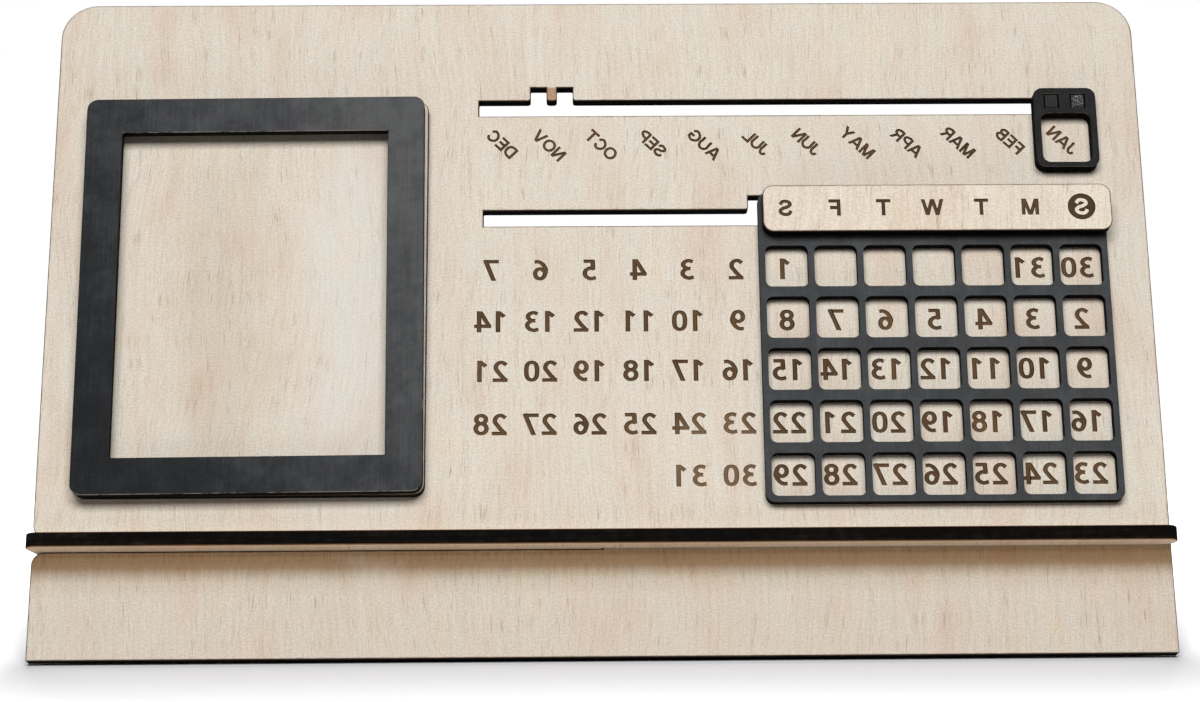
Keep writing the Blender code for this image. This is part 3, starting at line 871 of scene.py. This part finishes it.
def charcoal_paint(name, tones, speck, slope=(0, 0, 0), middle=(0, 0, 0)):
    """Satin charcoal spray paint over plywood: blotchy, with the grain showing through faintly and pale
    dust, whose share is the speck. A painted sheen can lighten the paint along a slope, in shares of the
    tones for each millimetre away from a middle."""
    look, tree, shader = new_material(name)
    place = in_millimetres(tree, along_grain)
    cloud = add(tree, "TexNoise", {"Scale": 1 / 9, "Detail": 6, "Roughness": 0.75}, {"Vector": place})
    grain = streaks(tree, place, width=0.6, length=16, detail=3)
    blotch = add(
        tree, "Math", {"operation": "MULTIPLY_ADD", 1: BLOTCHES, 2: COAT_SHIFT}, {0: cloud.outputs[0]}
    )
    drawn = add(
        tree, "Math", {"operation": "MULTIPLY_ADD", 1: GRAIN_THROUGH}, {0: grain, 2: blotch.outputs[0]}
    )
    # A painted sheen: the pattern is lightened along the slope, away from the middle.
    away = add(tree, "VectorMath", {"operation": "SUBTRACT", 1: Vector(middle) / MM}, {0: place})
    painted_sheen = add(tree, "VectorMath", {"operation": "DOT_PRODUCT", 1: slope}, {0: away.outputs[0]})
    coat_and_sheen = add(tree, "Math", {"operation": "ADD"}, {0: drawn.outputs[0], 1: painted_sheen.outputs["Value"]})
    ground = add(tree, "ValToRGB", {"ramp": tones}, {"Fac": coat_and_sheen.outputs[0]})
    # The dust is drawn 0.5 mm coarse so that it shows.
    dust = add(tree, "TexNoise", {"Scale": 1 / 0.5, "Detail": 2}, {"Vector": place})
    dust_ramp = [(0.66, "#000000"), (0.80, "#ffffff")]
    dust_mask = add(tree, "ValToRGB", {"ramp": dust_ramp}, {"Fac": dust.outputs[0]})
    dust_share = add(tree, "Math", {"operation": "MULTIPLY", 1: speck}, {0: dust_mask.outputs[0]})
    dusted = add(
        tree,
        "Mix",
        {"data_type": "RGBA", 7: linear("#8a8680")},
        {0: dust_share.outputs[0], 6: ground.outputs[0]},
    )
    dress(tree, shader, dusted.outputs[2], grain, strength=0.25, depth=0.05, specular=0.12)
    sheen = add(tree, "MapRange", {"To Min": 0.60, "To Max": 0.82}, {"Value": cloud.outputs[0]})
    tree.links.new(sheen.outputs[0], shader.inputs["Roughness"])
    shader.inputs["IOR"].default_value = 1.5
    return look


# The paint is rubbed through from where the pattern passes the first value, fully by the second. Where a
# face is marked as worn, the third is added to the pattern.
RUBBED_FROM = 0.36
RUBBED_FULLY = 0.46
WORN_MORE = 0.20


def worn_paint(name, dark, bright):
    """The arris of a painted piece: paint rubbed through to greyed wood, nearly all along where it is worn
    and in broken specks elsewhere."""
    look, tree, shader = new_material(name)
    place = in_millimetres(tree, along_grain)
    rubbed = add(tree, "TexNoise", {"Scale": 1 / 1.6, "Detail": 3}, {"Vector": place})
    long_rub = add(tree, "TexNoise", {"Scale": 1 / 17, "Detail": 1}, {"Vector": place})
    both = add(tree, "Math", {"operation": "MULTIPLY"}, {0: rubbed.outputs[0], 1: long_rub.outputs[0]})
    worn = add(tree, "Attribute", {"attribute_name": "wear"}).outputs["Fac"]
    rub = add(tree, "Math", {"operation": "MULTIPLY_ADD", 1: WORN_MORE}, {0: worn, 2: both.outputs[0]})
    ramp = [(RUBBED_FROM, dark), (RUBBED_FULLY, bright)]
    tone = add(tree, "ValToRGB", {"ramp": ramp}, {"Fac": rub.outputs[0]})
    tree.links.new(tone.outputs[0], shader.inputs["Base Color"])
    shader.inputs["Roughness"].default_value = 0.6
    return look


# The paint is painted lighter towards the frame's right and upper side: a painted sheen, as the satin paint
# would mirror the softbox there.
PAINTED_SHEEN_SLOPE = (0.0064, 0.0038, 0)
frame_tones = [
    (0.0, "#181a1d"),
    (0.25, "#242628"),
    (0.50, "#363739"),
    (0.75, "#464748"),
    (1.0, "#545556"),
]
frame_paint = charcoal_paint(
    "charcoal_paint_frame", frame_tones, speck=0.12, slope=PAINTED_SHEEN_SLOPE, middle=frame_middle
)
frame_worn = worn_paint("worn_paint_frame", "#1b1b1c", "#7b756c")
paint_edge = charred_edge("charred_painted_edge", along_grain, (ALONG_EDGE, ALONG_EDGE, 1), char_tones)
PAINT_ARRIS = 0.18 * MM
frame_looks = [frame_paint, paint_edge, frame_worn]
ring = cut_piece("frame_front", "painted_frame", out_of_panel, PAINT_ARRIS, 0, frame_looks)
stand_up(ring, "frame_front", "panel")

# The month cursor: a small window frame of painted 4 mm plywood. Two hooks are glued through square holes
# in its bar, so their end grain shows there, and they catch behind the panel and run in the upper slot.

cursor_tones = [(0.1, "#101110"), (0.50, "#1e1f1e"), (0.75, "#292a2a"), (1.0, "#37383b")]
cursor_paint = charcoal_paint("charcoal_paint_cursor", cursor_tones, speck=0.35)
cursor_worn = worn_paint("worn_paint_cursor", "#181817", "#6b675f")
cursor_looks = [cursor_paint, paint_edge, cursor_worn]
cursor = cut_piece("month_cursor", "painted_cursor", out_of_panel, PAINT_ARRIS, 0, cursor_looks)
stand_up(cursor, "month_cursor", "month_slider")

HOOK_ARRIS = 0.26 * MM
across = Vector((1, 0, 0))


def hook(node, name, body, looks):
    """A hook's flat sides face along the panel, and the end that shows in the bar is a cut edge."""
    piece = cut_piece(node, name, across, HOOK_ARRIS, 0, looks)
    stand_up(piece, node, body)


hook_tones = [(0.1, "#17181a"), (0.50, "#202123"), (0.75, "#292a2c"), (1.0, "#303133")]
hook_side = charcoal_paint("charcoal_paint_hook", hook_tones, speck=0.3)
smooth_tones = [(0.1, "#1c1e1f"), (0.50, "#282a2b"), (0.75, "#343637"), (1.0, "#414445")]
smooth_end = charcoal_paint("charcoal_paint_smooth_end", smooth_tones, speck=0.2)


def rough_end_grain(name):
    """End grain that drank most of its paint: a dark ground with crowded pale fibre ends."""
    look, tree, shader = new_material(name)
    place = in_millimetres(tree, along_grain)
    # The fibre ends are drawn 0.55 mm coarse so that they show.
    fibres = add(tree, "TexNoise", {"Scale": 1 / 0.55, "Detail": 3, "Roughness": 0.7}, {"Vector": place})
    tones = [(0.45, "#131415"), (0.54, "#2c2e30"), (0.62, "#75777a"), (0.74, "#b4b5b4")]
    tone = add(tree, "ValToRGB", {"ramp": tones}, {"Fac": fibres.outputs[0]})
    dress(tree, shader, tone.outputs[0], fibres.outputs[0], strength=0.7, depth=0.12, specular=0.5)
    shader.inputs["Roughness"].default_value = 0.75
    return look


rough_end = rough_end_grain("rough_end_grain")
hook("month_hook_left", "cursor_hook_left", "month_slider", [hook_side, smooth_end, paint_edge])
hook("month_hook_right", "cursor_hook_right", "month_slider", [hook_side, rough_end, paint_edge])

# The week slider: a painted grid of seven by five windows with two hooks behind its top bar, and over that
# bar a glued header strip of bare plywood, engraved with the days' initials, the first one in a disc.

grid_tones = [(0.1, "#2c2e30"), (0.50, "#3c3e40"), (0.75, "#494b4d"), (1.0, "#545658")]
grid_paint = charcoal_paint("charcoal_paint_grid", grid_tones, speck=0.35)
grid_worn = worn_paint("worn_paint_grid", "#3c3e40", "#a09a90")
grid_looks = [grid_paint, paint_edge, grid_worn]
grid = cut_piece("week_grid", "painted_grid", out_of_panel, PAINT_ARRIS, 0, grid_looks)
stand_up(grid, "week_grid", "week_slider")
hook("week_hook_left", "grid_hook_left", "week_slider", [hook_side, paint_edge, cursor_worn])
hook("week_hook_right", "grid_hook_right", "week_slider", [hook_side, paint_edge, cursor_worn])

header_tones = [(0.30, "#e3d6c5"), (0.46, "#e9ddcf"), (0.60, "#ebe2d5"), (0.78, "#ede2d2")]
HEADER_SLANT = math.radians(9)
header_veneer = sanded_veneer("poplar_veneer_header", along_grain, header_tones, HEADER_SLANT)
strip_looks = [header_veneer, panel_edge, arris_scorch]
header = cut_piece("weekday_header", "plywood_header", out_of_panel, CUT_ARRIS, PANEL_RIM, strip_looks)
WEEKDAYS = "SMTWTFS"
WEEKDAY_HEIGHT = 4.65 * MM
WEEKDAY_PEN = 0.94 * MM
WEEKDAY_STRETCH = 1.06
WEEKDAY_RISE = 0.05 * MM
DISC_RADIUS = 3.78 * MM
DISC_ASIDE = 0.68 * MM
DISC_SIDES = 48
header_low, header_high = flat_box("weekday_header")
header_face = header_high.z
weekday_line = (header_low.y + header_high.y) / 2 + WEEKDAY_RISE
header_floor_tones = [(0.34, "#392919"), (0.52, "#473421"), (0.70, "#5b472e")]
header_floor = scorched("laser_burnt_header_floor", header_floor_tones, along_grain)
header_looks = [header_floor, burnt_side]
weekday_cutters = {
    name: letter_cutter(
        "weekday_" + name, LETTERS[name][1], WEEKDAY_HEIGHT, WEEKDAY_PEN, WEEKDAY_STRETCH, header_looks
    )
    for name in sorted(set(WEEKDAYS))
}


def header_spot(day):
    """The middle of a day's place on the header, drawn mirrored."""
    x = last_column - day * DATE_COLUMN
    return Matrix.Translation((x, weekday_line, header_face)) @ mirror


def centred(initial):
    """Moves a letter so that its middle is at 0."""
    return Matrix.Translation((-letter_widths[initial] * WEEKDAY_HEIGHT / 2, -WEEKDAY_HEIGHT / 2, 0))


placed = []
for day, initial in enumerate(WEEKDAYS):
    if day > 0:
        placed.append((weekday_cutters[initial], header_spot(day) @ centred(initial)))

# The disc is burned away round an S, which is left standing at the veneer's own height.
bpy.ops.object.select_all(action="DESELECT")
bpy.ops.mesh.primitive_cone_add(
    vertices=DISC_SIDES,
    radius1=DISC_RADIUS - GROOVE_DRAFT,
    radius2=DISC_RADIUS + GROOVE_DRAFT * GROOVE_OVERRUN / GROOVE_DEPTH,
    depth=GROOVE_DEPTH + GROOVE_OVERRUN,
    location=(0, 0, (GROOVE_OVERRUN - GROOVE_DEPTH) / 2),
)
disc = bpy.context.object
disc.data.transform(disc.matrix_world)
disc.matrix_world = Matrix.Identity(4)
standing = letter_cutter(
    "standing_s", LETTERS["S"][1], WEEKDAY_HEIGHT, WEEKDAY_PEN, WEEKDAY_STRETCH, header_looks
)
# The letter is made deeper than the disc, so that it stands clear through it.
DEEPER = 3
standing.data.transform(centred("S") @ Matrix.Scale(DEEPER, 4, (0, 0, 1)))
for look in header_looks:
    disc.data.materials.append(look)
for face in disc.data.polygons:
    face.material_index = 0 if face.normal.z < -GROOVE_FLOOR else 1
work_on(disc)
keep_s = disc.modifiers.new("keep_s", "BOOLEAN")
keep_s.object = standing
keep_s.operation = "DIFFERENCE"
keep_s.solver = "EXACT"
bpy.ops.object.modifier_apply(modifier=keep_s.name)
placed.append((disc, Matrix.Translation((DISC_ASIDE, 0, 0)) @ header_spot(0)))
engrave(header, placed)
for cutter in list(weekday_cutters.values()) + [disc, standing]:
    bpy.data.objects.remove(cutter)
stand_up(header, "weekday_header", "week_slider")

# The studio: a sheet of white paper under the calendar, a wide softbox above and in front of it, a weaker
# one behind it, and a dim, warm room that the camera sees as white. The camera stands a little above the
# calendar and in front of it.

# The floor reaches this many metres each way, and lies a hair lower than the calendar's feet.
FLOOR_REACH = 12
FLOOR_DROP = 0.02 * MM
bpy.ops.object.select_all(action="DESELECT")
bpy.ops.mesh.primitive_plane_add(size=2 * FLOOR_REACH, location=(0, 0, -FLOOR_DROP))
floor = bpy.context.object
floor.name = "paper_floor"

paper, tree, shader = new_material("white_paper")
shader.inputs["Roughness"].default_value = 0.9
shader.inputs["Specular IOR Level"].default_value = 0.1
place = add(tree, "TexCoord").outputs["Object"]
folded = add(tree, "VectorMath", {"operation": "ABSOLUTE"}, {0: place})
footprint = (cad_high.x, cad_high.y, 0)
beyond = add(tree, "VectorMath", {"operation": "SUBTRACT", 1: footprint}, {0: folded.outputs[0]})
outside = add(tree, "VectorMath", {"operation": "MAXIMUM", 1: (0, 0, 0)}, {0: beyond.outputs[0]})
distance = add(tree, "VectorMath", {"operation": "LENGTH"}, {0: outside.outputs[0]})
# The sheet of paper ends a hand's width from the calendar, and past it the table throws little light back.
PAPER_EDGE = 110 * MM
TABLE_FROM = 220 * MM
spread = add(
    tree,
    "MapRange",
    {"From Min": PAPER_EDGE, "From Max": TABLE_FROM},
    {"Value": distance.outputs["Value"]},
)
table_top = [(0.0, "#e4e5e8"), (1.0, "#3c3733")]
ground = add(tree, "ValToRGB", {"ramp": table_top}, {"Fac": spread.outputs[0]})
tree.links.new(ground.outputs[0], shader.inputs["Base Color"])
# For the camera the paper turns pure white away from the calendar, sooner at its sides than in front of it,
# and keeps the shadow near it.
SIDES_SOONER = 3
WHITE_AT = 95 * MM
drawn_in = add(
    tree, "VectorMath", {"operation": "MULTIPLY", 1: (SIDES_SOONER, 1, 1)}, {0: outside.outputs[0]}
)
ahead = add(tree, "VectorMath", {"operation": "LENGTH"}, {0: drawn_in.outputs[0]})
whitening = add(tree, "MapRange", {"From Max": WHITE_AT}, {"Value": ahead.outputs["Value"]})
seen = add(tree, "LightPath").outputs["Is Camera Ray"]
glow = add(tree, "Math", {"operation": "MULTIPLY"}, {0: whitening.outputs[0], 1: seen})
tree.links.new(glow.outputs[0], shader.inputs["Emission Strength"])
shader.inputs["Emission Color"].default_value = (1, 1, 1, 1)
floor.data.materials.append(paper)

world = bpy.data.worlds.new("white_room")
bpy.context.scene.world = world
world.use_nodes = True
tree = world.node_tree
ROOM_LIGHT = 0.03
seen = add(tree, "LightPath").outputs["Is Camera Ray"]
strength = add(tree, "MapRange", {"To Min": ROOM_LIGHT, "To Max": 1}, {"Value": seen})
tree.links.new(strength.outputs[0], tree.nodes["Background"].inputs["Strength"])
ROOM_COLOUR = (1, 0.82, 0.68, 1)
warmth = add(tree, "Mix", {"data_type": "RGBA", 6: ROOM_COLOUR, 7: (1, 1, 1, 1)}, {0: seen})
tree.links.new(warmth.outputs[2], tree.nodes["Background"].inputs["Color"])

# Each softbox has its turn round the calendar from straight in front, and its power in watts. The one
# behind lights the panel's rear and the prop.
SOFTBOXES = [("softbox", -1, 16.5), ("back_softbox", 180, 9)]
SOFTBOX_DISTANCE = 1.2
SOFTBOX_RISE = math.radians(42)
SOFTBOX_WIDTH = 0.9
SOFTBOX_HEIGHT = 0.47
calendar_middle = (cad_low + cad_high) / 2
level = math.cos(SOFTBOX_RISE)
for name, turn, power in SOFTBOXES:
    softbox = bpy.data.lights.new(name, "AREA")
    softbox.shape = "RECTANGLE"
    softbox.size = SOFTBOX_WIDTH
    softbox.size_y = SOFTBOX_HEIGHT
    softbox.energy = power
    softbox_object = bpy.data.objects.new(name, softbox)
    bpy.context.scene.collection.objects.link(softbox_object)
    turn = math.radians(turn)
    toward = Vector((math.sin(turn) * level, -math.cos(turn) * level, math.sin(SOFTBOX_RISE)))
    softbox_object.location = calendar_middle + toward * SOFTBOX_DISTANCE
    softbox_object.rotation_euler = toward.to_track_quat("Z", "Y").to_euler()

# The camera's place in metres, and its pitch, roll and turn in degrees, were fitted to the object's edges.
CAMERA_LENS = 77.51
CAMERA_SENSOR = 36
CAMERA_PLACE = (-0.00885, -0.69652, 0.16666)
CAMERA_TURNS = (82.6257, 0.2402, -0.7432)
camera = bpy.data.cameras.new("camera")
camera.sensor_width = CAMERA_SENSOR
camera.lens = CAMERA_LENS
camera_object = bpy.data.objects.new("camera", camera)
camera_object.location = CAMERA_PLACE
camera_object.rotation_euler = [math.radians(turn) for turn in CAMERA_TURNS]
bpy.context.scene.collection.objects.link(camera_object)
bpy.context.scene.camera = camera_object
bpy.context.scene.view_settings.view_transform = "Standard"
